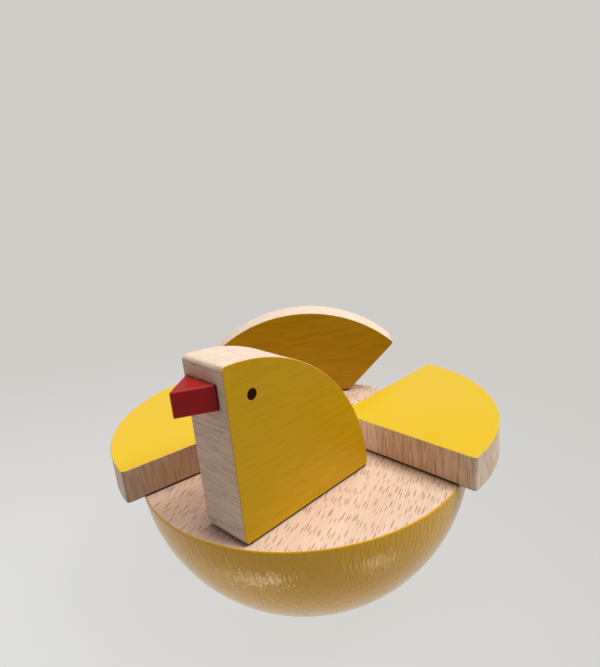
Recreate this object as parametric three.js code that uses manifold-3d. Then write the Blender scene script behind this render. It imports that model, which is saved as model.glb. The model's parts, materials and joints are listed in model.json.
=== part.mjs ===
// A rocking bird toy of beech: a half ball that carries a head, two wings and a tail,
// all four cut as quarter-disc boards of one radius.
// Millimetres, +Z up. The bird looks along -Y and its left side is +X.
// The origin is the middle of the small flat that the half ball rests on.
import * as THREE from 'three';
import { mergeVertices } from 'three/addons/utils/BufferGeometryUtils.js';
import Module from 'manifold-3d';

const wasm = await Module();
wasm.setup();

// Half ball: its flat deck lies a little below the ball's centre
const ballRadius = 50;
const deckDrop = 2.5;
const restFlatRadius = 4;
const rimRound = 0.5;

// Boards: one quarter disc for all, with eased edges and an open seam under each
const boardRadius = 47;
const edgeEase = 0.25;
const pointRound = 1.7;
const seam = 0.25;

// Head: turned to the bird's right, on a dowel in the middle of its base
const headThickness = 15;
const headCornerRound = 1.3;
const headTurn = THREE.MathUtils.degToRad(-39.5);
const headSideOffset = -1.3;
const headRimMargin = 0.25;

// Beak: a wedge on the head's front edge, with an upright tip
const beakWidth = 11.6;
const beakLength = 9;
const beakHeight = 6.6;
const beakSideOffset = -0.8;
const beakBelowTop = 4.5;
const beakEdgeEase = 0.4;
const beakGap = 0.05;

// Eyes: round plugs, flush with the head's two faces
const eyeRadius = 1.5;
const eyeDepth = 3;
const eyeBehindFront = 7.6;
const eyeBelowTop = 9.2;

// Wings: swept back a little, each on a dowel
const wingThickness = 10;
const wingCornerRound = 1.1;
const wingSweep = THREE.MathUtils.degToRad(4.3);
const wingDowelInset = 14.7;
const wingDowelReach = 23.5;
const wingHeadGap = 3.3;

// Tail: its point is cut off at the deck, and it stands by hand a little off square
const tailThickness = 10;
const tailCornerRound = 1.2;
const tailPointCut = 16;
const tailRimInset = 4.7;
const tailSideOffset = -2.7;
const tailTurn = THREE.MathUtils.degToRad(4.6);

// Dowels: radius, depth in what carries them and depth in the board, with one clearance all round
const fitGap = 0.3;
const dowelChamfer = 0.5;
const headDowel = { radius: 4, below: 14, above: 12 };
const wingDowel = { radius: 3, below: 12, above: 6 };
const tailDowel = { radius: 2, below: 8, above: 10 };
const beakDowel = { radius: 1.5, below: 8, above: 4 };
const tailDowelSpacing = 18;

// Fineness of the round forms
const ballSegments = 64;
const ballRings = 20;
const roundSteps = 4;
const arcSteps = 28;
const dowelSegments = 24;

// Places that follow from the sizes
const restHeight = Math.sqrt(ballRadius ** 2 - restFlatRadius ** 2);
const deckHeight = restHeight - deckDrop;
const rimRadius = Math.sqrt(ballRadius ** 2 - deckDrop ** 2);
const boardBase = deckHeight + seam;
const headSwingRadius = Math.hypot(boardRadius / 2, headThickness / 2);
const headPivot = new THREE.Vector2(headSideOffset, headSwingRadius + headRimMargin - rimRadius);
const headFront = -boardRadius / 2;
const beakMiddle = boardRadius - beakBelowTop - beakHeight / 2;
const eyeHeight = boardRadius - eyeBelowTop;
const tailMiddle = new THREE.Vector2(tailSideOffset, rimRadius - tailRimInset);

// The wing's dowel is set in from the rim, and its front edge clears the circle that the head swings in
const wingFrontAngle = wingSweep - Math.PI / 4;
const wingApexX = rimRadius - wingDowelInset - wingDowelReach * Math.cos(wingSweep);
const wingFrontDistance = headSwingRadius + wingHeadGap;
const wingApexY = headPivot.y
  + (wingFrontDistance + (wingApexX + headSideOffset) * Math.sin(wingFrontAngle)) / Math.cos(wingFrontAngle);
const wingDowelPlace = new THREE.Vector2(
  wingApexX + wingDowelReach * Math.cos(wingSweep),
  wingApexY + wingDowelReach * Math.sin(wingSweep),
);

const yellowPaint = { color: 0xe9b72b, roughness: 0.42, metalness: 0 };
const redPaint = { color: 0xa8262b, roughness: 0.4, metalness: 0 };
const darkPlug = { color: 0x28100a, roughness: 0.5, metalness: 0 };
const bareBeech = { color: 0xe3c0a0, roughness: 0.65, metalness: 0 };

// Turns a closed geometry into a solid that can be cut
function toSolid(geometry) {
  const bare = geometry.clone();
  bare.deleteAttribute('normal');
  bare.deleteAttribute('uv');
  const merged = mergeVertices(bare);
  const corners = merged.index.array;
  const triangles = [];
  for (let i = 0; i < corners.length; i += 3) {
    const [a, b, c] = [corners[i], corners[i + 1], corners[i + 2]];
    if (a !== b && b !== c && c !== a) triangles.push(a, b, c);
  }
  return new wasm.Manifold(new wasm.Mesh({
    numProp: 3,
    vertProperties: new Float32Array(merged.attributes.position.array),
    triVerts: new Uint32Array(triangles),
  }));
}

// Cuts the given geometries out of a piece
function cut(piece, tools) {
  let solid = toSolid(piece);
  for (const tool of tools) solid = solid.subtract(toSolid(tool));
  const mesh = solid.getMesh();
  const geometry = new THREE.BufferGeometry();
  geometry.setAttribute('position', new THREE.BufferAttribute(mesh.vertProperties, 3));
  geometry.setIndex(new THREE.BufferAttribute(mesh.triVerts, 1));
  geometry.computeVertexNormals();
  return geometry;
}

// Points of an arc, both ends included
function arcPoints(centreX, centreY, radius, from, to, steps) {
  const points = [];
  for (let i = 0; i <= steps; i += 1) {
    const angle = from + (to - from) * (i / steps);
    points.push(new THREE.Vector2(centreX + radius * Math.cos(angle), centreY + radius * Math.sin(angle)));
  }
  return points;
}

// Outline of a quarter disc with its point at the origin and its straight edges along +X and +Y.
// The two outer corners are rounded. The point is rounded too, or cut off square to the middle line.
function quarterDisc(round, pointCut) {
  const along = Math.sqrt((boardRadius - round) ** 2 - round ** 2);
  const lean = Math.asin(round / (boardRadius - round));
  const cutEdge = pointCut * Math.SQRT2;
  const point = pointCut > 0
    ? [new THREE.Vector2(0, cutEdge), new THREE.Vector2(cutEdge, 0)]
    : arcPoints(pointRound, pointRound, pointRound, Math.PI, 1.5 * Math.PI, roundSteps);
  return new THREE.Shape([
    ...arcPoints(along, round, round, -Math.PI / 2, lean, roundSteps),
    ...arcPoints(0, 0, boardRadius, lean, Math.PI / 2 - lean, arcSteps).slice(1, -1),
    ...arcPoints(round, along, round, Math.PI / 2 - lean, Math.PI, roundSteps),
    ...point,
  ]);
}

// A board of the given thickness with eased edges, its middle plane at z = 0
function board(outline, thickness, ease) {
  const geometry = new THREE.ExtrudeGeometry(outline, {
    depth: thickness - 2 * ease,
    bevelEnabled: true,
    bevelThickness: ease,
    bevelSize: ease,
    bevelOffset: -ease,
    bevelSegments: 2,
  });
  return geometry.translate(0, 0, ease - thickness / 2);
}

// A round rod along +Z from z = bottom to z = top, with chamfered ends
function rod(radius, bottom, top, chamfer) {
  const profile = [
    [0, bottom],
    [radius - chamfer, bottom],
    [radius, bottom + chamfer],
    [radius, top - chamfer],
    [radius - chamfer, top],
    [0, top],
  ].map(([x, y]) => new THREE.Vector2(x, y));
  return new THREE.LatheGeometry(profile, dowelSegments).rotateX(Math.PI / 2);
}

// A dowel that crosses the seam at z = 0, and the socket for it on one or both sides
function dowel({ radius, below, above }) {
  return rod(radius, -below, seam + above, dowelChamfer);
}

function socket({ radius, below, above }) {
  return rod(radius + fitGap, -below - fitGap, seam + above + fitGap, dowelChamfer);
}

function part(name, geometry, finish) {
  const mesh = new THREE.Mesh(geometry, new THREE.MeshStandardMaterial(finish));
  mesh.name = name;
  return mesh;
}

const bird = new THREE.Group();

// Where each dowel stands on the deck, as seen from above
const tailDowelPlace = (side) => new THREE.Vector2(side * tailDowelSpacing / 2, 0)
  .rotateAround(new THREE.Vector2(), tailTurn)
  .add(tailMiddle);
const deckDowels = [
  { name: 'head_pivot_dowel', dowel: headDowel, place: headPivot },
  { name: 'left_wing_dowel', dowel: wingDowel, place: wingDowelPlace },
  { name: 'right_wing_dowel', dowel: wingDowel, place: new THREE.Vector2(-wingDowelPlace.x, wingDowelPlace.y) },
  { name: 'left_tail_dowel', dowel: tailDowel, place: tailDowelPlace(1) },
  { name: 'right_tail_dowel', dowel: tailDowel, place: tailDowelPlace(-1) },
];

// Half ball: a lathe profile from the rest flat up the ball, over the eased rim and across the deck
function halfBall() {
  const centre = restHeight;
  const roundCentre = deckHeight - rimRound;
  const lean = -Math.asin((deckDrop + rimRound) / (ballRadius - rimRound));
  const roundReach = (ballRadius - rimRound) * Math.cos(lean);
  const profile = [
    new THREE.Vector2(0, 0),
    ...arcPoints(0, centre, ballRadius, -Math.acos(restFlatRadius / ballRadius), lean, ballRings),
    ...arcPoints(roundReach, roundCentre, rimRound, lean, Math.PI / 2, roundSteps).slice(1),
    new THREE.Vector2(0, deckHeight),
  ];
  const ball = new THREE.LatheGeometry(profile, ballSegments).rotateX(Math.PI / 2);
  const sockets = deckDowels.map(({ dowel: size, place }) => socket(size).translate(place.x, place.y, deckHeight));
  return cut(ball, sockets);
}

bird.add(part('half_ball', halfBall(), yellowPaint));

for (const { name, dowel: size, place } of deckDowels) {
  const mesh = part(name, dowel(size), bareBeech);
  mesh.position.set(place.x, place.y, deckHeight);
  bird.add(mesh);
}

// Head group: its own +Y runs back from the beak, and its dowel stands at the group's origin
const head = new THREE.Group();
head.position.set(headPivot.x, headPivot.y, boardBase);
head.rotation.z = headTurn;
bird.add(head);

// Brings a board's outline upright, with its straight edges along +Y and +Z
const upright = new THREE.Matrix4().makeBasis(
  new THREE.Vector3(0, 1, 0),
  new THREE.Vector3(0, 0, 1),
  new THREE.Vector3(1, 0, 0),
);

// The beak's dowel lies along the head, from the wedge back into the board
const layBack = (geometry) => geometry
  .rotateX(Math.PI / 2)
  .translate(beakSideOffset, headFront, beakMiddle);

const eyePlug = (side, gap) => rod(eyeRadius + gap, -eyeDepth - gap, gap, 0)
  .rotateY(side * Math.PI / 2)
  .translate(side * headThickness / 2, headFront + eyeBehindFront, eyeHeight);

const headBoard = board(quarterDisc(headCornerRound, 0), headThickness, edgeEase)
  .applyMatrix4(upright)
  .translate(0, headFront, 0);
head.add(part('head', cut(headBoard, [
  socket(headDowel).translate(0, 0, -seam),
  layBack(socket(beakDowel)),
  eyePlug(1, fitGap),
  eyePlug(-1, fitGap),
]), yellowPaint));
head.add(part('left_eye', eyePlug(1, 0), darkPlug));
head.add(part('right_eye', eyePlug(-1, 0), darkPlug));
head.add(part('beak_dowel', layBack(dowel(beakDowel)), bareBeech));

// Beak: a triangle seen from above, its base on the head's front edge
const beakOutline = new THREE.Shape([
  new THREE.Vector2(beakWidth / 2, 0),
  new THREE.Vector2(-beakWidth / 2, 0),
  new THREE.Vector2(0, -beakLength),
]);
const beakWedge = board(beakOutline, beakHeight, beakEdgeEase)
  .translate(beakSideOffset, headFront - beakGap, beakMiddle);
head.add(part('beak', cut(beakWedge, [layBack(socket(beakDowel))]), redPaint));

// Wings: the same board on each side, turned about its dowel
for (const [name, side] of [['left_wing', 1], ['right_wing', -1]]) {
  const wing = board(quarterDisc(wingCornerRound, 0), wingThickness, edgeEase)
    .rotateZ(-Math.PI / 4)
    .translate(-wingDowelReach, 0, wingThickness / 2);
  const mesh = part(name, cut(wing, [socket(wingDowel).translate(0, 0, -seam)]), yellowPaint);
  mesh.position.set(side * wingDowelPlace.x, wingDowelPlace.y, boardBase);
  mesh.rotation.z = side > 0 ? wingSweep : Math.PI - wingSweep;
  bird.add(mesh);
}

// Tail: upright across the back of the deck, its cut-off point down
const tailBoard = board(quarterDisc(tailCornerRound, tailPointCut), tailThickness, edgeEase)
  .rotateZ(Math.PI / 4)
  .rotateX(Math.PI / 2)
  .translate(0, 0, -tailPointCut);
const tailSockets = [1, -1].map((side) => socket(tailDowel).translate(side * tailDowelSpacing / 2, 0, -seam));
const tail = part('tail', cut(tailBoard, tailSockets), yellowPaint);
tail.position.set(tailMiddle.x, tailMiddle.y, boardBase);
tail.rotation.z = tailTurn;
bird.add(tail);

export default bird;
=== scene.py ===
"""A rocking bird toy of painted beech: half ball, turning head, swinging wings and tail.

Metres, +Z up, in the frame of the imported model. The bird looks along -Y and its left is +X.
"""

import json
import logging
import math
from dataclasses import dataclass, replace
from enum import Enum, IntEnum
from typing import Callable, Iterable

import bmesh
import bpy
from mathutils import Euler, Matrix, Quaternion, Vector


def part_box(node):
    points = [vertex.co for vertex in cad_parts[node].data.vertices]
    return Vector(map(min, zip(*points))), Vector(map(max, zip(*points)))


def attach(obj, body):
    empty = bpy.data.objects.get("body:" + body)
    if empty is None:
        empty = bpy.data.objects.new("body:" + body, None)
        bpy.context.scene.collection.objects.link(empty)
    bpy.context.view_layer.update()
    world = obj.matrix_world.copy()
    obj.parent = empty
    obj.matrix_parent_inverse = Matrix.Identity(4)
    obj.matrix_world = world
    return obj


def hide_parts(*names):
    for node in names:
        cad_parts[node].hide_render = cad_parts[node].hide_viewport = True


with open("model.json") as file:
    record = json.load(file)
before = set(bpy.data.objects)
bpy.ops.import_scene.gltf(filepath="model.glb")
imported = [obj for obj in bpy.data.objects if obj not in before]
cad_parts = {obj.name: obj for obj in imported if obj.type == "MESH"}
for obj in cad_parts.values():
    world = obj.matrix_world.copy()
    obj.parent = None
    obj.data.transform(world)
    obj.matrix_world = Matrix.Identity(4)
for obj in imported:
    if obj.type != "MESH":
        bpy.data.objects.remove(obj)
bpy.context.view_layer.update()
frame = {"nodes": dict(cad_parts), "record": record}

LOG = logging.getLogger("rocking_bird")

Colour = tuple[float, float, float]
Triple = tuple[float, float, float]
Step = tuple[float, float]

MM = 0.001
SMOOTH_ANGLE = math.radians(40)
FACE_WEIGHT = 100
BORE_SIDES = 48

# Places closer than this are the same place, for cuts, for touching faces and for a board's corners.
CUT_TOLERANCE = 1e-7
TOUCH_TOLERANCE = 1e-6
CORNER_TOLERANCE = 1e-5

# The sockets of a mix node that mixes colours.
MIX_SHARE, MIX_FIRST, MIX_SECOND = 0, 6, 7
MIX_RESULT = 2

# The painted shade of the seam under the boards: a dark band at each board's foot that stands in for
# the shadow in the gap. It keeps to the deck, and fades where a board reaches past it.
SEAM_SHADE_TOP = 48.15 * MM
FRONT_SEAM_SHADE_TOP = 48.7 * MM
SEAM_FADE = 0.15 * MM
SEAM_SHADOW_COLOUR: Colour = (0.025, 0.01, 0.006)
DECK_REACH = 50 * MM
DECK_FADE = 1 * MM


class Body(Enum):
    """The moving bodies that pieces ride on."""

    BASE = "base"
    HEAD = "head"
    LEFT_WING = "left_wing"
    RIGHT_WING = "right_wing"


class Slot(Enum):
    """The record's material slots that the modelled pieces take."""

    YELLOW = "yellow_paint"
    RED = "red_paint"
    DARK = "dark_plug"


class Side(Enum):
    """The bird's two sides, as the sign of X."""

    LEFT = 1
    RIGHT = -1


class BoardSlot(IntEnum):
    """The order of the finishes on a board."""

    FACE = 0
    SIDE = 1
    ARC = 2
    # The foot takes the painted shade of the seam.
    FOOT = 3


class BeakSlot(IntEnum):
    """The order of the finishes on the beak."""

    PLAIN = 0
    WORN = 1
    JOINT = 2


def joint_place(name: str) -> Vector:
    """Finds where a joint's axis stands.

    Args:
        name: The joint's name in the record.

    Returns:
        The point on its axis, in metres.
    """
    joints = frame["record"]["behaviour"]["joints"]
    return Vector(next(joint["pos_m"] for joint in joints if joint["name"] == name))


@dataclass(frozen=True)
class Grain:
    """How the wood lies in a piece."""

    fibres: Triple
    rays: Triple

    def turn(self) -> Euler:
        """Works out how the wood is turned.

        Returns:
            The turn that brings the fibres to X and the rays to Z.
        """
        fibres = Vector(self.fibres).normalized()
        rays = Vector(self.rays).normalized()
        return Matrix((fibres, rays.cross(fibres), rays)).to_euler()


class Tree:
    """A node tree with short calls for the nodes that the finishes share."""

    def __init__(self, tree: bpy.types.NodeTree) -> None:
        """Empties the tree.

        Args:
            tree: The tree to fill.
        """
        self.tree = tree
        tree.nodes.clear()

    def add(self, kind: str, inputs: dict | None = None, **settings: object) -> bpy.types.Node:
        """Adds one node.

        Args:
            kind: The node's type name.
            inputs: Values or output sockets for its inputs, by name or number.
            **settings: Values for the node's own properties.

        Returns:
            The new node.
        """
        node = self.tree.nodes.new(kind)
        for key, value in settings.items():
            setattr(node, key, value)
        for key, value in (inputs or {}).items():
            if isinstance(value, bpy.types.NodeSocket):
                self.tree.links.new(value, node.inputs[key])
            else:
                node.inputs[key].default_value = value
        return node

    def math(self, operation: str, first: object, second: object = 0.0) -> bpy.types.NodeSocket:
        """Adds a math node and returns its result."""
        return self.add("ShaderNodeMath", {0: first, 1: second}, operation=operation).outputs[0]

    def line(self, value: object, slope: float, start: float) -> bpy.types.NodeSocket:
        """Adds a straight line: the slope times a value, and a start added to it."""
        inputs = {0: value, 1: slope, 2: start}
        return self.add("ShaderNodeMath", inputs, operation="MULTIPLY_ADD").outputs[0]

    def ramp(self, value: object, low: float, high: float) -> bpy.types.NodeSocket:
        """Adds a smooth step from 0 at low to 1 at high.

        Args:
            value: The socket that is stepped.
            low: Where the step starts.
            high: Where it ends.

        Returns:
            The stepped value.
        """
        inputs = {"Value": value, "From Min": low, "From Max": high}
        node = self.add("ShaderNodeMapRange", inputs, interpolation_type="SMOOTHSTEP")
        return node.outputs["Result"]

    def mix(self, share: object, first: object, second: object) -> bpy.types.NodeSocket:
        """Mixes two colours.

        Args:
            share: How much of the second shows.
            first: The lower colour or socket.
            second: The upper colour or socket.

        Returns:
            The mixed colour.
        """
        inputs = {MIX_SHARE: share}
        for socket, colour in ((MIX_FIRST, first), (MIX_SECOND, second)):
            linked = isinstance(colour, bpy.types.NodeSocket)
            inputs[socket] = colour if linked else (*colour, 1.0)
        return self.add("ShaderNodeMix", inputs, data_type="RGBA").outputs[MIX_RESULT]

    def grain_space(self, grain: Grain) -> bpy.types.NodeSocket:
        """Gives object coordinates turned so that X runs along the fibres and Z along the rays.

        Args:
            grain: How the wood lies in the piece.

        Returns:
            The turned coordinates.
        """
        place = self.add("ShaderNodeTexCoord").outputs["Object"]
        inputs = {"Vector": place, "Rotation": grain.turn()}
        return self.add("ShaderNodeMapping", inputs).outputs["Vector"]

    def stretched(self, space: object, pitch: Triple) -> bpy.types.NodeSocket:
        """Scales coordinates so that one unit is the given pitch along each axis.

        Args:
            space: The coordinates to scale.
            pitch: Metres for each axis.

        Returns:
            The scaled coordinates.
        """
        scale = tuple(1.0 / step for step in pitch)
        return self.add("ShaderNodeMapping", {"Vector": space, "Scale": scale}).outputs["Vector"]

    def noise(self, space: object, pitch: Triple, detail: float = 2.0) -> bpy.types.NodeSocket:
        """Adds a noise with the given pitch along each axis.

        Args:
            space: The coordinates to read.
            pitch: Metres for each axis.
            detail: How many finer layers it has.

        Returns:
            A value around one half.
        """
        inputs = {"Vector": self.stretched(space, pitch), "Scale": 1.0, "Detail": detail}
        return self.add("ShaderNodeTexNoise", inputs).outputs["Fac"]

    def seam(self, colour: object, top: float) -> bpy.types.NodeSocket:
        """Paints shade along a board's foot, for the shadow in the gap under it, as far as it stands
        over the deck.

        Args:
            colour: The board's own colour.
            top: How high the seam reaches.

        Returns:
            The colour with the painted seam shade.
        """
        place = self.add("ShaderNodeTexCoord").outputs["Object"]
        inputs = {0: place, 1: (1.0, 1.0, 0.0)}
        level = self.add("ShaderNodeVectorMath", inputs, operation="MULTIPLY").outputs[0]
        reach = self.add("ShaderNodeVectorMath", {0: level}, operation="LENGTH").outputs["Value"]
        height = self.add("ShaderNodeSeparateXYZ", {"Vector": place}).outputs["Z"]
        low = self.ramp(height, top, top - SEAM_FADE)
        inside = self.ramp(reach, DECK_REACH, DECK_REACH - DECK_FADE)
        return self.mix(self.math("MULTIPLY", low, inside), colour, SEAM_SHADOW_COLOUR)

    def surface(
        self, colour: object, roughness: float, specular: float, bump: bpy.types.Node
    ) -> None:
        """Closes a material with its shader.

        Args:
            colour: The colour of the surface.
            roughness: How matt it is.
            specular: How strong its gloss is.
            bump: The node that gives its fine relief.
        """
        shader = self.add("ShaderNodeBsdfPrincipled", {
            "Base Color": colour, "Roughness": roughness, "Specular IOR Level": specular,
            "Normal": bump.outputs[0],
        })
        self.add("ShaderNodeOutputMaterial", {"Surface": shader.outputs[0]})


class Finish:
    """A surface finish that makes its material once."""

    name: str

    def material(self) -> bpy.types.Material:
        """Makes the finish's material on first use.

        Returns:
            The material.
        """
        found = bpy.data.materials.get(self.name)
        if found is not None:
            return found
        made = bpy.data.materials.new(self.name)
        made.use_nodes = True
        self.dress(Tree(made.node_tree))
        return made

    def dress(self, tree: Tree) -> None:
        """Fills the material's tree."""
        raise NotImplementedError


@dataclass(frozen=True)
class Beech(Finish):
    """Bare sanded beech: rays cut as short flecks on the face and as streaks on the edge.

    Rays are thin ribbons in the wood: long along the fibres, deep along the radius and thin across.
    """

    name: str
    grain: Grain
    light: Colour
    dark: Colour
    fleck: Colour
    fleck_pitch: Triple = (5.5 * MM, 0.8 * MM, 16.0 * MM)
    fleck_size: float = 0.4
    fleck_share: float = 0.7
    fleck_strength: float = 0.7
    fleck_spread: float = 0.9
    ring_pitch: Triple = (90 * MM, 9 * MM, 30 * MM)
    fibre_pitch: Triple = (9 * MM, 0.35 * MM, 2.5 * MM)
    fibre_strength: float = 0.14
    ring_step: Step = (0.35, 0.7)
    fibre_step: Step = (0.42, 0.68)
    fleck_least: float = 0.55
    fleck_range: float = 0.65
    fleck_core: float = 0.55
    roughness: float = 0.62
    specular: float = 0.25
    bump: float = 0.1
    bump_depth: float = 0.05 * MM
    fibre_depth: float = 0.5
    flat: bool = False
    # How high the painted shade of the seam under the board reaches; 0 for none.
    seam: float = 0.0

    def dress(self, tree: Tree) -> None:
        """Fills the tree with rings, fibres and flecks.

        Args:
            tree: The material's tree.
        """
        space = tree.grain_space(self.grain)
        rings = tree.ramp(tree.noise(space, self.ring_pitch, detail=3.0), *self.ring_step)
        wood = tree.mix(rings, self.light, self.dark)
        fibres = tree.ramp(tree.noise(space, self.fibre_pitch), *self.fibre_step)
        wood = tree.mix(tree.math("MULTIPLY", fibres, self.fibre_strength), wood, self.fleck)
        flecks = self.flecks(tree, space)
        wood = tree.mix(tree.math("MULTIPLY", flecks, self.fleck_strength), wood, self.fleck)
        # Painted shade along the foot, for the shadow in the gap under the board.
        wood = tree.seam(wood, self.seam) if self.seam else wood
        sunk = tree.math("MULTIPLY", fibres, -self.fibre_depth)
        height = tree.math("SUBTRACT", sunk, flecks)
        bump = tree.add("ShaderNodeBump", {
            "Strength": self.bump, "Distance": self.bump_depth, "Height": height,
        })
        tree.surface(wood, self.roughness, self.specular, bump)

    def flecks(self, tree: Tree, space: object) -> bpy.types.NodeSocket:
        """Scatters the cut rays.

        Args:
            tree: The material's tree.
            space: Coordinates along the fibres, across them and along the rays.

        Returns:
            1 in a fleck and 0 outside.
        """
        cells = tree.add("ShaderNodeTexVoronoi", {
            "Vector": tree.stretched(space, self.fleck_pitch), "Scale": 1.0,
            "Randomness": self.fleck_spread,
        }, voronoi_dimensions="2D" if self.flat else "3D")
        parts = tree.add("ShaderNodeSeparateColor", {"Color": cells.outputs["Color"]})
        share = tree.line(parts.outputs[0], self.fleck_range, self.fleck_least)
        size = tree.math("MULTIPLY", share, self.fleck_size)
        reach = tree.math("DIVIDE", cells.outputs["Distance"], size)
        inside = tree.math("SUBTRACT", 1.0, tree.ramp(reach, self.fleck_core, 1.0))
        chosen = tree.math("LESS_THAN", parts.outputs[1], self.fleck_share)
        return tree.math("MULTIPLY", inside, chosen)


@dataclass(frozen=True)
class Paint(Finish):
    """Satin paint on beech, thin enough for the grain to show through as faint streaks."""

    name: str
    colour: Colour
    deep: Colour
    grain: Grain = Grain((1, 0, 0), (0, 0, 1))
    streak_pitch: Triple = (14 * MM, 0.5 * MM, 0.5 * MM)
    streak_strength: float = 0.12
    streak_step: Step = (0.35, 0.75)
    cloud_pitch: float = 18 * MM
    roughness: float = 0.3
    specular: float = 0.5
    bump: float = 0.05
    bump_depth: float = 0.2 * MM
    # How high the painted shade of the seam under the board reaches; 0 for none.
    seam: float = 0.0

    def dress(self, tree: Tree) -> None:
        """Fills the tree with paint over faint grain.

        Args:
            tree: The material's tree.
        """
        space = tree.grain_space(self.grain)
        streaks = tree.ramp(tree.noise(space, self.streak_pitch, detail=3.0), *self.streak_step)
        clouds = tree.noise(space, (self.cloud_pitch,) * 3)
        both = tree.math("ADD", streaks, clouds)
        deep_share = tree.math("MULTIPLY", both, self.streak_strength)
        colour = tree.mix(deep_share, self.colour, self.deep)
        # Painted shade along the foot, for the shadow in the gap under the board.
        colour = tree.seam(colour, self.seam) if self.seam else colour
        bump = tree.add("ShaderNodeBump", {
            "Strength": self.bump, "Distance": self.bump_depth, "Height": streaks,
        })
        tree.surface(colour, self.roughness, self.specular, bump)


# How the wood lies in each piece. The head is turned on the deck, and so is its wood.
HEAD_TURN = math.radians(-39.5)
HEAD_ACROSS: Triple = (math.cos(HEAD_TURN), math.sin(HEAD_TURN), 0.0)
HEAD_BACK: Triple = (-math.sin(HEAD_TURN), math.cos(HEAD_TURN), 0.0)
DECK_FIBRES = math.radians(73)
DECK_GRAIN = Grain((math.cos(DECK_FIBRES), math.sin(DECK_FIBRES), 0.0), (0, 0, 1))
HEAD_RAY_DROP = -0.06
HEAD_GRAIN = Grain(HEAD_BACK, (HEAD_ACROSS[0], HEAD_ACROSS[1], HEAD_RAY_DROP))
WING_GRAIN = Grain((1, 0.1, 0), (0, 0, 1))
TAIL_GRAIN = Grain((1, 0, 0), (0, 1, 0))
UPRIGHT_GRAIN = Grain((0, 0, 1), (1, 0, 0))

# Beech: the usual wood, the paler wood of the sawn arcs, and the wood of the wings' edges.
BEECH_LIGHT: Colour = (0.88, 0.66, 0.505)
BEECH_DARK: Colour = (0.84, 0.60, 0.445)
BEECH_FLECK: Colour = (0.42, 0.235, 0.155)
DECK_FLECK: Colour = (0.36, 0.16, 0.10)
PALE_LIGHT: Colour = (0.93, 0.75, 0.58)
PALE_DARK: Colour = (0.90, 0.70, 0.525)
END_LIGHT: Colour = (0.95, 0.74, 0.57)
END_DARK: Colour = (0.87, 0.635, 0.47)
END_FLECK: Colour = (0.33, 0.17, 0.10)

# The bare finishes.
DECK_BEECH = Beech(
    "deck_beech", DECK_GRAIN, BEECH_LIGHT, BEECH_DARK, DECK_FLECK,
    fleck_pitch=(7.0 * MM, 0.86 * MM, 9 * MM), fleck_size=0.28, fleck_share=0.9,
    fleck_strength=0.62, fleck_spread=0.75, fibre_strength=0.2, flat=True,
)
WING_EDGE = Beech(
    "wing_edge_beech", WING_GRAIN, END_LIGHT, END_DARK, END_FLECK,
    fleck_pitch=(6 * MM, 0.5 * MM, 9 * MM), fleck_share=0.5, fleck_strength=0.5,
    fibre_pitch=(6 * MM, 0.36 * MM, 8 * MM), fibre_strength=0.45, seam=SEAM_SHADE_TOP,
)
# The right wing's straight edges: a darker copy of the same beech, painted shade for the head's
# shadow on them.
SHADED_WING_EDGE = replace(
    WING_EDGE, name="dark_wing_edge_beech", light=(0.56, 0.385, 0.265), dark=(0.47, 0.30, 0.195),
)
# The wings' arcs: a paler copy of the same beech, painted light on the arcs that face out towards
# the light.
LIT_WING_ARC = replace(
    WING_EDGE, name="wing_arc_beech", light=(0.97, 0.80, 0.62), dark=(0.90, 0.70, 0.52),
    fleck_share=0.35,
)
HEAD_EDGE = Beech(
    "head_edge_beech", HEAD_GRAIN, BEECH_LIGHT, BEECH_DARK, BEECH_FLECK,
    fleck_pitch=(6 * MM, 0.6 * MM, 6 * MM), fleck_share=0.22, fleck_strength=0.6,
    fibre_pitch=(6 * MM, 0.5 * MM, 7 * MM), fibre_strength=0.34,
    ring_pitch=(90 * MM, 4 * MM, 25 * MM), seam=FRONT_SEAM_SHADE_TOP,
)
HEAD_TOP = Beech(
    "head_top_beech", HEAD_GRAIN, PALE_LIGHT, PALE_DARK, BEECH_FLECK,
    fleck_pitch=(6 * MM, 0.6 * MM, 6 * MM), fleck_share=0.12, fleck_strength=0.3,
    fibre_pitch=(9 * MM, 0.5 * MM, 0.8 * MM), fibre_strength=0.2,
)
TAIL_EDGE = Beech(
    "tail_edge_beech", TAIL_GRAIN, PALE_LIGHT, PALE_DARK, BEECH_FLECK,
    fleck_pitch=(4 * MM, 0.6 * MM, 1.2 * MM), fleck_share=0.2, fleck_strength=0.25,
    fibre_pitch=(8 * MM, 0.4 * MM, 0.5 * MM), fibre_strength=0.16,
)
# Painted shade for the eased strip along each board's foot, where the gap under the board is in
# shadow.
FOOT_SHADE = Beech(
    "foot_shade_beech", WING_GRAIN, (0.09, 0.045, 0.025), (0.07, 0.035, 0.02), (0.03, 0.015, 0.01),
)
DOWEL_BEECH = Beech("dowel_beech", UPRIGHT_GRAIN, BEECH_LIGHT, BEECH_DARK, BEECH_FLECK)

# The paints. The yellows differ a little from piece to piece, and the head's and the tail's are
# darker still: painted shade for their upright faces.
WING_YELLOW = Paint("wing_yellow", (0.88, 0.57, 0.006), (0.80, 0.48, 0.005), specular=0.42)
# The head's yellow: darker than the wings' yellow, as painted shade for its upright faces.
SHADED_HEAD_YELLOW = Paint(
    "head_yellow", (0.69, 0.39, 0.005), (0.47, 0.245, 0.003), HEAD_GRAIN,
    streak_pitch=(9 * MM, 0.8 * MM, 0.8 * MM), streak_strength=0.22, cloud_pitch=12 * MM,
    specular=0.15, seam=SEAM_SHADE_TOP,
)
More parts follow.
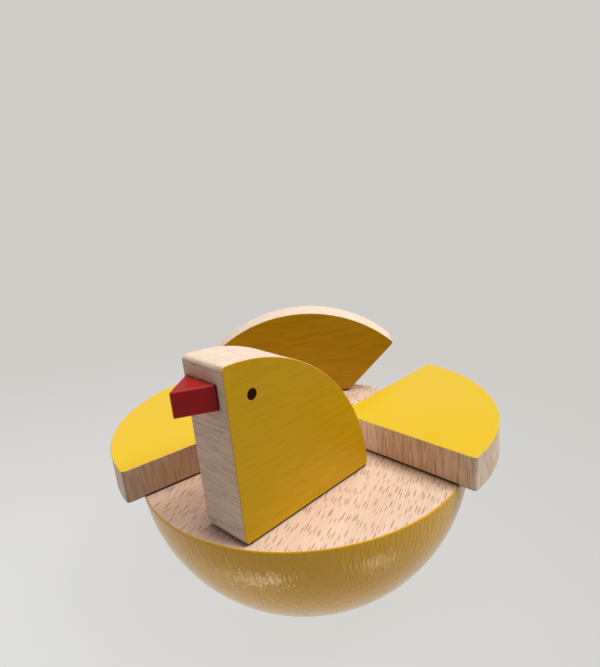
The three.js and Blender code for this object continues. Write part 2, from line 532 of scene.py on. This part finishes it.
# The tail's yellow: darker than the wings' yellow, as painted shade for its upright faces.
SHADED_TAIL_YELLOW = Paint(
    "tail_yellow", (0.635, 0.35, 0.007), (0.365, 0.175, 0.004), TAIL_GRAIN,
    streak_pitch=(12 * MM, 1.1 * MM, 1.1 * MM), streak_strength=0.3, cloud_pitch=14 * MM,
    specular=0.15, seam=SEAM_SHADE_TOP,
)
BALL_YELLOW = Paint(
    "ball_yellow", (0.85, 0.455, 0.008), (0.74, 0.37, 0.006), UPRIGHT_GRAIN,
    streak_pitch=(5 * MM, 0.75 * MM, 0.75 * MM), streak_strength=0.2,
    roughness=0.1, specular=0.33, bump=0.5,
)
BEAK_RED = Paint("beak_red", (0.395, 0.017, 0.019), (0.32, 0.011, 0.013), specular=0.1)
# A lighter red for the beak's eased edges.
BEAK_EDGE = Paint("beak_edge_red", (0.52, 0.05, 0.05), (0.40, 0.02, 0.022), specular=0.1)
# Painted shade for the joint behind the beak, where the gap to the head is in shadow.
BEAK_JOINT_SHADE = Paint(
    "beak_joint_red", (0.05, 0.006, 0.006), (0.03, 0.004, 0.004), roughness=0.6, specular=0.05,
)
EYE_DARK = Paint(
    "eye_dark", (0.027, 0.005, 0.002), (0.012, 0.003, 0.001), roughness=0.6, specular=0.05,
)


class Bench:
    """The modelling moves, on the piece in hand."""

    @staticmethod
    def clear() -> None:
        """Leaves nothing selected."""
        if bpy.context.object is not None and bpy.context.object.mode != "OBJECT":
            bpy.ops.object.mode_set(mode="OBJECT")
        bpy.ops.object.select_all(action="DESELECT")

    @staticmethod
    def take(name: str) -> bpy.types.Object:
        """Names the piece that was just added.

        Args:
            name: The piece's name.

        Returns:
            The piece.
        """
        piece = bpy.context.active_object
        piece.name = name
        piece.data.name = name
        return piece

    @staticmethod
    def edit() -> None:
        """Opens the piece in edit mode with all of it selected."""
        bpy.ops.object.mode_set(mode="EDIT")
        bpy.ops.mesh.select_all(action="SELECT")

    @staticmethod
    def close() -> None:
        """Turns all faces outwards and goes back to object mode."""
        bpy.ops.mesh.select_all(action="SELECT")
        bpy.ops.mesh.normals_make_consistent(inside=False)
        bpy.ops.object.mode_set(mode="OBJECT")

    @staticmethod
    def pick_edges(
        piece: bpy.types.Object, wanted: Callable[[bmesh.types.BMEdge], bool]
    ) -> None:
        """Selects edges in edit mode.

        Args:
            piece: The piece in hand.
            wanted: Tells which edges are selected.
        """
        bpy.ops.mesh.select_mode(type="EDGE")
        bpy.ops.mesh.select_all(action="DESELECT")
        mesh = bmesh.from_edit_mesh(piece.data)
        for edge in mesh.edges:
            edge.select_set(wanted(edge))
        bmesh.update_edit_mesh(piece.data)

    @staticmethod
    def round_edges(offset: float, segments: int) -> None:
        """Rounds the selected edges.

        Args:
            offset: How far the round reaches.
            segments: How many strips it has.
        """
        bpy.ops.mesh.bevel(
            offset=offset, segments=segments, profile=0.5, affect="EDGES", clamp_overlap=True
        )

    @staticmethod
    def slice(place: Vector, normal: Vector, fill: bool = False) -> None:
        """Cuts away what lies behind a plane.

        Args:
            place: A point on the plane.
            normal: The way that the kept part lies.
            fill: Whether the cut is closed.
        """
        bpy.ops.mesh.select_all(action="SELECT")
        bpy.ops.mesh.bisect(
            plane_co=place, plane_no=normal, use_fill=fill, clear_inner=True, clear_outer=False,
            threshold=CUT_TOLERANCE,
        )

    @staticmethod
    def settle(piece: bpy.types.Object, place: Matrix) -> None:
        """Puts the piece in its place, in its mesh.

        Args:
            piece: The piece in hand.
            place: Where its own axes go.
        """
        piece.matrix_world = place
        bpy.ops.object.transform_apply(location=True, rotation=True, scale=True)

    @staticmethod
    def bore(piece: bpy.types.Object, radius: float, start: Vector, end: Vector) -> None:
        """Drills a round hole.

        Args:
            piece: The piece that is drilled.
            radius: The hole's radius.
            start: One end of the hole's axis.
            end: The other end.
        """
        Bench.clear()
        axis = end - start
        turn = axis.to_track_quat("Z", "Y").to_euler()
        bpy.ops.mesh.primitive_cylinder_add(
            vertices=BORE_SIDES, radius=radius, depth=axis.length,
            location=(start + end) / 2, rotation=turn,
        )
        drill = bpy.context.active_object
        Bench.clear()
        piece.select_set(True)
        bpy.context.view_layer.objects.active = piece
        hole = piece.modifiers.new("hole", "BOOLEAN")
        hole.operation = "DIFFERENCE"
        hole.solver = "EXACT"
        hole.object = drill
        bpy.ops.object.modifier_apply(modifier=hole.name)
        bpy.data.objects.remove(drill, do_unlink=True)

    @staticmethod
    def smooth(piece: bpy.types.Object) -> None:
        """Shades the piece smooth, with its large faces kept flat.

        Args:
            piece: The piece in hand.
        """
        Bench.clear()
        piece.select_set(True)
        bpy.context.view_layer.objects.active = piece
        bpy.ops.object.shade_smooth_by_angle(angle=SMOOTH_ANGLE)
        even = piece.modifiers.new("even", "WEIGHTED_NORMAL")
        even.keep_sharp = True
        even.weight = FACE_WEIGHT
        bpy.ops.object.modifier_apply(modifier=even.name)

    @staticmethod
    def dress(
        piece: bpy.types.Object,
        finishes: Iterable[Finish],
        choose: Callable[[bpy.types.MeshPolygon], int],
    ) -> None:
        """Gives each face its finish.

        Args:
            piece: The piece to dress.
            finishes: The finishes, in slot order.
            choose: Tells which slot a face takes.
        """
        piece.data.materials.clear()
        for finish in finishes:
            piece.data.materials.append(finish.material())
        for face in piece.data.polygons:
            face.material_index = choose(face)


def hand_over(piece: bpy.types.Object, body: Body, node: str) -> None:
    """Tells the frame what a piece rides on and stands for.

    Args:
        piece: The finished piece.
        body: The body it moves with.
        node: The solid it stands for.
    """
    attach(piece, body.value)
    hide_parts(node)
    LOG.info("%s: %d faces on %s", piece.name, len(piece.data.polygons), body.value)


@dataclass
class Dowels:
    """Sizes of the dowels and the clearance of their sockets."""

    gap: float = 0.3 * MM
    seam: float = 0.25 * MM
    head_radius: float = 4 * MM
    head_below: float = 14 * MM
    head_above: float = 12 * MM
    wing_radius: float = 3 * MM
    wing_below: float = 12 * MM
    wing_above: float = 6 * MM
    tail_radius: float = 2 * MM
    tail_below: float = 8 * MM
    tail_above: float = 10 * MM
    beak_radius: float = 1.5 * MM
    beak_below: float = 8 * MM
    beak_above: float = 4 * MM

    def dress(self) -> None:
        """Gives the dowels their bare beech."""
        for name, node in frame["nodes"].items():
            if name.endswith("_dowel"):
                node.data.materials.clear()
                node.data.materials.append(DOWEL_BEECH.material())

    def drill(self, piece: bpy.types.Object, node: str, along: Vector) -> None:
        """Drills a dowel's socket into a piece, a clearance larger all round.

        Args:
            piece: The piece that is drilled.
            node: The dowel.
            along: The dowel's axis.
        """
        low, high = (Vector(corner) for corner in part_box(node))
        middle = (low + high) / 2
        radius, length = self.measure(node)
        reach = along.normalized() * (length / 2 + self.gap)
        Bench.bore(piece, radius + self.gap, middle - reach, middle + reach)

    def measure(self, node: str) -> tuple[float, float]:
        """Gives a dowel's radius and length.

        Args:
            node: The dowel.

        Returns:
            Its radius and its length.
        """
        for word in ("head", "wing", "tail", "beak"):
            if word in node:
                below = getattr(self, word + "_below")
                above = getattr(self, word + "_above")
                return getattr(self, word + "_radius"), below + self.seam + above
        raise ValueError(node)


@dataclass
class HalfBall:
    """The turned half ball: painted round side, bare deck, small flat to rest on."""

    dowels: Dowels
    radius: float = 50 * MM
    deck_drop: float = 2.5 * MM
    rim_round: float = 0.5 * MM
    rim_strips: int = 5
    bare_rim: float = 0.03 * MM
    segments: int = 160
    rings: int = 80

    def build(self) -> bpy.types.Object:
        """Turns the half ball, drills its sockets and dresses it.

        Returns:
            The finished piece.
        """
        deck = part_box("half_ball")[1][2]
        Bench.clear()
        bpy.ops.mesh.primitive_uv_sphere_add(
            segments=self.segments, ring_count=self.rings, radius=self.radius,
            location=(0, 0, deck + self.deck_drop),
        )
        piece = Bench.take("rocker_half_ball")
        bpy.ops.object.transform_apply(location=True, rotation=True, scale=True)
        Bench.edit()
        Bench.slice(Vector((0, 0, deck)), Vector((0, 0, -1)), fill=True)
        Bench.slice(Vector((0, 0, 0)), Vector((0, 0, 1)), fill=True)

        def on_deck(edge: bmesh.types.BMEdge) -> bool:
            """Tells whether an edge lies in the deck."""
            return all(abs(vert.co.z - deck) < TOUCH_TOLERANCE for vert in edge.verts)

        Bench.pick_edges(piece, on_deck)
        Bench.round_edges(self.rim_round, self.rim_strips)
        Bench.close()
        nodes = (
            "head_pivot_dowel", "left_wing_dowel", "right_wing_dowel",
            "left_tail_dowel", "right_tail_dowel",
        )
        for node in nodes:
            self.dowels.drill(piece, node, Vector((0, 0, 1)))
        Bench.smooth(piece)
        bare_from = deck - self.bare_rim
        Bench.dress(piece, (BALL_YELLOW, DECK_BEECH), lambda face: int(face.center.z > bare_from))
        hand_over(piece, Body.BASE, "half_ball")
        return piece


@dataclass(frozen=True)
class BoardFinishes:
    """What a board's broad faces, its straight edges and its arc are finished with."""

    face: Finish
    side: Finish
    arc: Finish


@dataclass
class Board:
    """A quarter-disc board with eased edges: painted faces, bare edges."""

    radius: float = 47 * MM
    ease: float = 0.25 * MM
    ease_strips: int = 3
    painted_ease: float = 0.6
    point_round: float = 1.7 * MM
    corner_strips: int = 6
    arc_sides: int = 128
    flat_cosine: float = 0.99
    straight_cosine: float = 0.5

    def cut_out(
        self, name: str, thickness: float, corner: float, point_cut: float = 0.0
    ) -> bpy.types.Object:
        """Saws the board with its point at the origin and its straight edges along +X and +Y.

        Args:
            name: The piece's name.
            thickness: The board's thickness, about z = 0.
            corner: How far the outer corners are rounded.
            point_cut: How much of the point is cut off, along the middle line.

        Returns:
            The board, lying flat.
        """
        Bench.clear()
        bpy.ops.mesh.primitive_circle_add(
            vertices=self.arc_sides, radius=self.radius, fill_type="NGON"
        )
        piece = Bench.take(name)
        Bench.edit()
        Bench.slice(Vector(), Vector((1, 0, 0)))
        Bench.slice(Vector(), Vector((0, 1, 0)))
        if point_cut > 0:
            Bench.slice(Vector((1, 1, 0)).normalized() * point_cut, Vector((1, 1, 0)))
        bpy.ops.mesh.select_all(action="SELECT")
        bpy.ops.transform.translate(value=(0, 0, -thickness / 2))
        bpy.ops.mesh.extrude_region_move(TRANSFORM_OT_translate={"value": (0, 0, thickness)})
        outer = (Vector((self.radius, 0)), Vector((0, self.radius)))
        self.round_corners(piece, outer, corner)
        if point_cut == 0:
            self.round_corners(piece, (Vector((0, 0)),), self.point_round)
        Bench.close()
        Bench.edit()
        Bench.pick_edges(piece, self.borders_a_face)
        Bench.round_edges(self.ease, self.ease_strips)
        Bench.close()
        return piece

    def round_corners(
        self, piece: bpy.types.Object, corners: Iterable[Vector], reach: float
    ) -> None:
        """Rounds the upright edges at some corners.

        Args:
            piece: The board in hand.
            corners: Where the corners are, seen from above.
            reach: How far the round reaches.
        """
        def at_corner(edge: bmesh.types.BMEdge) -> bool:
            """Tells whether an edge stands upright at one of the corners.

            Args:
                edge: The edge.

            Returns:
                Whether it does.
            """
            first, second = (vert.co.xy for vert in edge.verts)
            upright = (first - second).length < CUT_TOLERANCE
            return upright and any((first - place).length < CORNER_TOLERANCE for place in corners)

        Bench.pick_edges(piece, at_corner)
        Bench.round_edges(reach, self.corner_strips)

    def borders_a_face(self, edge: bmesh.types.BMEdge) -> bool:
        """Tells whether an edge lies between a broad face and the board's edge."""
        flat = [abs(face.normal.z) > self.flat_cosine for face in edge.link_faces]
        return any(flat) and not all(flat)

    def paint(
        self, piece: bpy.types.Object, finishes: BoardFinishes, place: Matrix, half: float
    ) -> None:
        """Paints the two broad faces and leaves the edges bare, with painted shade along the foot.

        Args:
            piece: The board in its place.
            finishes: The finishes of the board.
            place: Where the flat board was brought to.
            half: Half its thickness.
        """
        turn = place.to_3x3()
        across = turn @ Vector((0, 0, 1))
        straight = (turn @ Vector((-1, 0, 0)), turn @ Vector((0, -1, 0)))
        foot = min(vertex.co.z for vertex in piece.data.vertices)

        def slot(face: bpy.types.MeshPolygon) -> int:
            """Picks paint for the broad faces, wood for the edges and painted shade for the foot.

            Args:
                face: The face to finish.

            Returns:
                The slot of its finish.
            """
            inset = half - abs((face.center - place.translation).dot(across))
            height = face.center.z - foot
            if height < self.ease:
                in_face = inset < TOUCH_TOLERANCE and height > TOUCH_TOLERANCE
                return BoardSlot.FACE if in_face else BoardSlot.FOOT
            if inset < self.ease * self.painted_ease:
                return BoardSlot.FACE
            sawn = any(face.normal.dot(way) > self.straight_cosine for way in straight)
            return BoardSlot.SIDE if sawn else BoardSlot.ARC

        Bench.dress(piece, (finishes.face, finishes.side, finishes.arc, FOOT_SHADE), slot)


@dataclass
class Head(Board):
    """The upright head board with its beak and eyes."""

    thickness: float = 15 * MM
    corner: float = 1.3 * MM
    turn: float = HEAD_TURN
    beak_width: float = 11.6 * MM
    beak_length: float = 9 * MM
    beak_height: float = 6.6 * MM
    beak_offset: float = -0.8 * MM
    beak_below_top: float = 4.5 * MM
    beak_ease: float = 0.4 * MM
    beak_gap: float = 0.05 * MM
    edge_share: float = 0.2
    eye_radius: float = 1.5 * MM
    eye_depth: float = 3 * MM
    eye_ease: float = 0.12 * MM
    eye_proud: float = 0.04 * MM
    eye_sides: int = 64
    eye_behind: float = 7.6 * MM
    eye_below_top: float = 9.2 * MM

    def place(self) -> Matrix:
        """Finds the head's own frame: +Y runs back from the beak, and the dowel is at its origin.

        Returns:
            Where that frame stands.
        """
        pivot = joint_place("head_turn")
        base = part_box("head")[0][2]
        return Matrix.Translation((pivot.x, pivot.y, base)) @ Matrix.Rotation(self.turn, 4, "Z")

    def build(self, dowels: Dowels) -> list[bpy.types.Object]:
        """Makes the board, the beak and both eyes.

        Args:
            dowels: The dowels that it is drilled for.

        Returns:
            The finished pieces.
        """
        pieces = [self.build_board(dowels), self.build_beak(dowels)]
        pieces += [self.build_eye(side) for side in Side]
        return pieces

    def build_board(self, dowels: Dowels) -> bpy.types.Object:
        """Makes the head board.

        Args:
            dowels: The dowels that it is drilled for.

        Returns:
            The finished piece.
        """
        piece = self.cut_out("head_board", self.thickness, self.corner)
        upright = Matrix((
            (0, 0, 1, 0),
            (1, 0, 0, -self.radius / 2),
            (0, 1, 0, 0),
            (0, 0, 0, 1),
        ))
        place = self.place() @ upright
        Bench.settle(piece, place)
        dowels.drill(piece, "head_pivot_dowel", Vector((0, 0, 1)))
        dowels.drill(piece, "beak_dowel", place.to_3x3() @ Vector((1, 0, 0)))
        Bench.smooth(piece)
        finishes = BoardFinishes(SHADED_HEAD_YELLOW, HEAD_EDGE, HEAD_TOP)
        self.paint(piece, finishes, place, self.thickness / 2)
        hand_over(piece, Body.HEAD, "head")
        return piece

    def build_beak(self, dowels: Dowels) -> bpy.types.Object:
        """Makes the wedge beak from a block whose front is drawn together to an upright tip.

        Args:
            dowels: The dowels that it is drilled for.

        Returns:
            The finished piece.
        """
        Bench.clear()
        bpy.ops.mesh.primitive_cube_add(size=1.0)
        piece = Bench.take("wedge_beak")
        piece.scale = (self.beak_width, self.beak_length, self.beak_height)
        bpy.ops.object.transform_apply(location=True, rotation=True, scale=True)
        Bench.edit()
        Bench.pick_edges(piece, lambda edge: all(vert.co.y < 0 for vert in edge.verts))
        bpy.ops.transform.resize(value=(0, 1, 1))
        bpy.ops.mesh.select_all(action="SELECT")
        bpy.ops.mesh.remove_doubles(threshold=TOUCH_TOLERANCE)
        bpy.ops.mesh.normals_make_consistent(inside=False)
        Bench.pick_edges(piece, lambda edge: True)
        Bench.round_edges(self.beak_ease, self.ease_strips)
        Bench.close()
        middle = self.radius - self.beak_below_top - self.beak_height / 2
        front = -self.radius / 2 - self.beak_gap - self.beak_length / 2
        place = self.place()
        Bench.settle(piece, place @ Matrix.Translation((self.beak_offset, front, middle)))
        dowels.drill(piece, "beak_dowel", place.to_3x3() @ Vector((0, 1, 0)))
        Bench.smooth(piece)
        largest = max(face.area for face in piece.data.polygons)
        back = -self.radius / 2 - self.beak_gap - self.beak_ease

        def slot(face: bpy.types.MeshPolygon) -> int:
            """Picks the plain red, the lighter red of the eased edges, or the painted shade of the
            joint.

            Args:
                face: The face to finish.

            Returns:
                The slot of its finish.
            """
            # The joint behind the beak takes painted shade.
            if (place.inverted() @ face.center).y > back:
                return BeakSlot.JOINT
            return BeakSlot.WORN if face.area < largest * self.edge_share else BeakSlot.PLAIN

        Bench.dress(piece, (BEAK_RED, BEAK_EDGE, BEAK_JOINT_SHADE), slot)
        hand_over(piece, Body.HEAD, "beak")
        return piece

    def build_eye(self, side: Side) -> bpy.types.Object:
        """Makes one eye plug, flush with the head's face.

        Args:
            side: The bird's side that it is on.

        Returns:
            The finished piece.
        """
        name = side.name.lower() + "_eye"
        Bench.clear()
        bpy.ops.mesh.primitive_cylinder_add(
            vertices=self.eye_sides, radius=self.eye_radius, depth=self.eye_depth
        )
        piece = Bench.take(name + "_plug")
        Bench.edit()
        Bench.pick_edges(piece, lambda edge: all(vert.co.z > 0 for vert in edge.verts))
        Bench.round_edges(self.eye_ease, self.ease_strips)
        Bench.close()
        place = Matrix.Translation((
            side.value * (self.thickness / 2 - self.eye_depth / 2 + self.eye_proud),
            -self.radius / 2 + self.eye_behind,
            self.radius - self.eye_below_top,
        )) @ Matrix.Rotation(side.value * math.pi / 2, 4, "Y")
        Bench.settle(piece, self.place() @ place)
        Bench.smooth(piece)
        Bench.dress(piece, (EYE_DARK,), lambda face: 0)
        hand_over(piece, Body.HEAD, name)
        return piece


@dataclass
class Wing(Board):
    """A flat wing board on its dowel."""

    side: Side = Side.LEFT
    thickness: float = 10 * MM
    corner: float = 1.1 * MM
    sweep: float = math.radians(4.3)
    dowel_reach: float = 23.5 * MM

    def build(self, dowels: Dowels) -> bpy.types.Object:
        """Makes the wing.

        Args:
            dowels: The dowels that it is drilled for.

        Returns:
            The finished piece.
        """
        word = self.side.name.lower() + "_wing"
        piece = self.cut_out(word + "_board", self.thickness, self.corner)
        pivot = joint_place(word + "_swing")
        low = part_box(word)[0][2]
        turn = self.sweep if self.side is Side.LEFT else math.pi - self.sweep
        middle = Vector((pivot.x, pivot.y, low + self.thickness / 2))
        point = Matrix.Translation((-self.dowel_reach, 0, 0))
        spread = Matrix.Rotation(-math.pi / 4, 4, "Z")
        place = Matrix.Translation(middle) @ Matrix.Rotation(turn, 4, "Z") @ point @ spread
        Bench.settle(piece, place)
        dowels.drill(piece, word + "_dowel", Vector((0, 0, 1)))
        Bench.smooth(piece)
        # The right wing's straight edges take the darker copy of the beech, painted shade for the
        # head's shadow.
        edge = WING_EDGE if self.side is Side.LEFT else SHADED_WING_EDGE
        finishes = BoardFinishes(WING_YELLOW, edge, LIT_WING_ARC)
        self.paint(piece, finishes, place, self.thickness / 2)
        hand_over(piece, Body(word), word)
        return piece


@dataclass
class Tail(Board):
    """The upright tail board, with its point cut off at the deck."""

    thickness: float = 10 * MM
    corner: float = 1.2 * MM
    ease: float = 0.26 * MM
    point_cut: float = 16 * MM
    turn: float = math.radians(4.6)

    def build(self, dowels: Dowels) -> bpy.types.Object:
        """Makes the tail.

        Args:
            dowels: The dowels that it is drilled for.

        Returns:
            The finished piece.
        """
        piece = self.cut_out("tail_board", self.thickness, self.corner, self.point_cut)
        low, high = (Vector(corner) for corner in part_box("tail"))
        middle = (low + high) / 2
        foot = Vector((middle.x, middle.y, low.z))
        stand = Matrix.Rotation(math.pi / 2, 4, "X") @ Matrix.Rotation(math.pi / 4, 4, "Z")
        spin = Matrix.Rotation(self.turn, 4, "Z")
        drop = Matrix.Translation((0, 0, -self.point_cut))
        place = Matrix.Translation(foot) @ spin @ drop @ stand
        Bench.settle(piece, place)
        for node in ("left_tail_dowel", "right_tail_dowel"):
            dowels.drill(piece, node, Vector((0, 0, 1)))
        Bench.smooth(piece)
        finishes = BoardFinishes(SHADED_TAIL_YELLOW, TAIL_EDGE, TAIL_EDGE)
        self.paint(piece, finishes, place, self.thickness / 2)
        hand_over(piece, Body.BASE, "tail")
        return piece


@dataclass(frozen=True)
class Key:
    """A broad soft light far above, by the way it comes from, its strength and its breadth."""

    come_from: Triple
    strength: float
    breadth: float


@dataclass(frozen=True)
class Glint:
    """A small low lamp that only shows as a pale patch in the ball's gloss."""

    place: Triple
    size: tuple[float, float]
    power: float
    roll: float = 0.0
    rise: float = math.radians(42)

    def turn(self) -> Euler:
        """Turns the lamp up and in towards the ball's axis.

        Returns:
            The lamp's turn.
        """
        inward = Vector((-self.place[0], -self.place[1], 0)).normalized()
        aim = inward * math.cos(self.rise) + Vector((0, 0, math.sin(self.rise)))
        return (aim.to_track_quat("-Z", "Y") @ Quaternion((0, 0, 1), self.roll)).to_euler()


@dataclass
class Studio:
    """Pale floor, soft light from above and the camera at the photograph's place."""

    floor_size: float = 30.0
    floor_drop: float = 0.05 * MM
    floor_bounce: Colour = (0.17, 0.17, 0.165)
    floor_shade: Colour = (0.45, 0.45, 0.44)
    floor_near: Colour = (0.765, 0.762, 0.74)
    floor_middle: Triple = (-0.11, -0.08, 0.0)
    floor_far: Colour = (0.643, 0.62, 0.592)
    fade_from: float = 0.03
    fade_to: float = 0.34
    floor_glow: float = 0.88
    # How strongly the floor glows for the light that reaches the bird, near the ball and far from
    # it, and where the glow fades between.
    lift_near: float = 1.0
    lift_far: float = 0.3
    lift_from: float = 0.06
    lift_to: float = 0.12
    backdrop: Colour = (0.625, 0.605, 0.58)
    front_dim: Colour = (0.02, 0.02, 0.02)
    walls: Colour = (0.66, 0.65, 0.625)
    left_wall: Colour = (1.1, 1.07, 1.03)
    ceiling: Colour = (0.12, 0.12, 0.12)
    front_step: Step = (-0.45, 0.25)
    left_step: Step = (-0.5, -0.95)
    ceiling_step: Step = (0.28, 0.7)
    keys: tuple[Key, ...] = (
        Key((0.24, 0.12, 0.963), 1.52, math.radians(45)),
        Key((0.55, -0.12, 0.826), 1.62, math.radians(25)),
    )
    glint_spread: float = math.radians(60)
    glint_colour: Colour = (1.0, 0.9, 0.66)
    glints: tuple[Glint, ...] = (
        Glint((-0.032, -0.053, 0.0045), (0.044, 0.009), 0.0028, math.radians(-10)),
        Glint((0.039, -0.053, 0.003), (0.016, 0.012), 0.00075),
    )
    camera_place: Vector = Vector((21.875, -174.525, 144.678)) * MM
    camera_degrees: Triple = (71.16, 5.343, 4.639)
    camera_near: float = 0.01
    focal_pixels: float = 634.55
    picture_height: float = 667.0
    sensor: float = 36.0

    def build(self) -> None:
        """Sets the floor, the lights, the world and the camera."""
        self.build_floor()
        self.build_light()
        self.build_world()
        self.build_camera()
        bpy.context.scene.view_settings.view_transform = "Standard"

    def build_floor(self) -> None:
        """Lays the floor just under the rest flat, fading into the backdrop."""
        Bench.clear()
        bpy.ops.mesh.primitive_plane_add(size=self.floor_size, location=(0, 0, -self.floor_drop))
        floor = Bench.take("floor")
        bpy.ops.object.transform_apply(location=True, rotation=True, scale=True)
        material = bpy.data.materials.new("floor_pale")
        material.use_nodes = True
        tree = Tree(material.node_tree)
        path = tree.add("ShaderNodeLightPath").outputs
        matt = tree.mix(path["Is Camera Ray"], self.floor_bounce, self.floor_shade)
        shader = tree.add("ShaderNodeBsdfDiffuse", {"Color": matt})
        place = tree.add("ShaderNodeTexCoord").outputs["Object"]
        reach = tree.add("ShaderNodeVectorMath", {0: place}, operation="LENGTH").outputs["Value"]
        ends = {0: place, 1: self.floor_middle}
        apart = tree.add("ShaderNodeVectorMath", ends, operation="DISTANCE").outputs["Value"]
        fade = tree.ramp(apart, self.fade_from, self.fade_to)
        tone = tree.mix(fade, self.floor_near, self.floor_far)
        glow = tree.add("ShaderNodeEmission", {"Color": tone, "Strength": 1.0})
        # The floor also glows for the light that falls on the bird, brightest near the ball: a glow
        # that lights the ball's underside as a lamp would, with no shadow of the ball in it.
        spare = tree.ramp(reach, self.lift_to, self.lift_from)
        lift = tree.line(spare, self.lift_near - self.lift_far, self.lift_far)
        mirrored = tree.math("MAXIMUM", path["Is Glossy Ray"], path["Is Transmission Ray"])
        seen = tree.math("MULTIPLY", path["Is Camera Ray"], self.floor_glow)
        looked = tree.math("MAXIMUM", seen, mirrored)
        shown = tree.math("MAXIMUM", path["Is Camera Ray"], mirrored)
        unseen = tree.math("SUBTRACT", 1.0, shown)
        share = tree.math("ADD", looked, tree.math("MULTIPLY", unseen, lift))
        both = tree.add("ShaderNodeMixShader", {0: share, 1: shader.outputs[0], 2: glow.outputs[0]})
        tree.add("ShaderNodeOutputMaterial", {"Surface": both.outputs[0]})
        floor.data.materials.append(material)

    def build_light(self) -> None:
        """Hangs the soft keys above, and lays the low lamps."""
        for number, key in enumerate(self.keys):
            Bench.clear()
            turn = Vector(key.come_from).to_track_quat("Z", "Y").to_euler()
            bpy.ops.object.light_add(type="SUN", location=key.come_from, rotation=turn)
            lamp = bpy.context.active_object
            lamp.name = f"key_{number}"
            lamp.data.energy = key.strength
            lamp.data.angle = key.breadth
        for number, glint in enumerate(self.glints):
            Bench.clear()
            bpy.ops.object.light_add(type="AREA", location=glint.place, rotation=glint.turn())
            lamp = bpy.context.active_object
            lamp.name = f"glint_{number}"
            lamp.data.shape = "ELLIPSE"
            lamp.data.size, lamp.data.size_y = glint.size
            lamp.data.energy = glint.power
            lamp.data.color = self.glint_colour
            lamp.data.spread = self.glint_spread
            lamp.visible_camera = False
            lamp.visible_diffuse = False

    def build_world(self) -> None:
        """Sets pale walls, a dim room in front, and a pale backdrop for the camera."""
        world = bpy.data.worlds.new("room")
        bpy.context.scene.world = world
        world.use_nodes = True
        tree = Tree(world.node_tree)
        way = tree.add("ShaderNodeTexCoord").outputs["Generated"]
        parts = tree.add("ShaderNodeSeparateXYZ", {"Vector": way}).outputs
        around = tree.mix(tree.ramp(parts["Y"], *self.front_step), self.front_dim, self.walls)
        around = tree.mix(tree.ramp(parts["X"], *self.left_step), around, self.left_wall)
        room = tree.mix(tree.ramp(parts["Z"], *self.ceiling_step), around, self.ceiling)
        fill = tree.add("ShaderNodeBackground", {"Color": room, "Strength": 1.0})
        show = tree.add("ShaderNodeBackground", {"Color": (*self.backdrop, 1.0), "Strength": 1.0})
        path = tree.add("ShaderNodeLightPath")
        both = tree.add("ShaderNodeMixShader", {
            0: path.outputs["Is Camera Ray"], 1: fill.outputs[0], 2: show.outputs[0],
        })
        tree.add("ShaderNodeOutputWorld", {"Surface": both.outputs[0]})

    def build_camera(self) -> None:
        """Stands the camera where the photograph was taken from."""
        Bench.clear()
        angles = Euler(tuple(math.radians(angle) for angle in self.camera_degrees))
        bpy.ops.object.camera_add(location=self.camera_place, rotation=angles)
        camera = bpy.context.active_object
        camera.name = "camera"
        camera.data.sensor_width = self.sensor
        camera.data.lens = self.focal_pixels * self.sensor / self.picture_height
        camera.data.clip_start = self.camera_near
        bpy.context.scene.camera = camera


def main() -> None:
    """Builds the bird and its studio."""
    logging.basicConfig(level=logging.INFO, format="%(name)s %(message)s")
    dowels = Dowels()
    dowels.dress()
    HalfBall(dowels).build()
    Head().build(dowels)
    for side in Side:
        Wing(side=side).build(dowels)
    Tail().build(dowels)
    Studio().build()


if __name__ == "__main__":
    main()
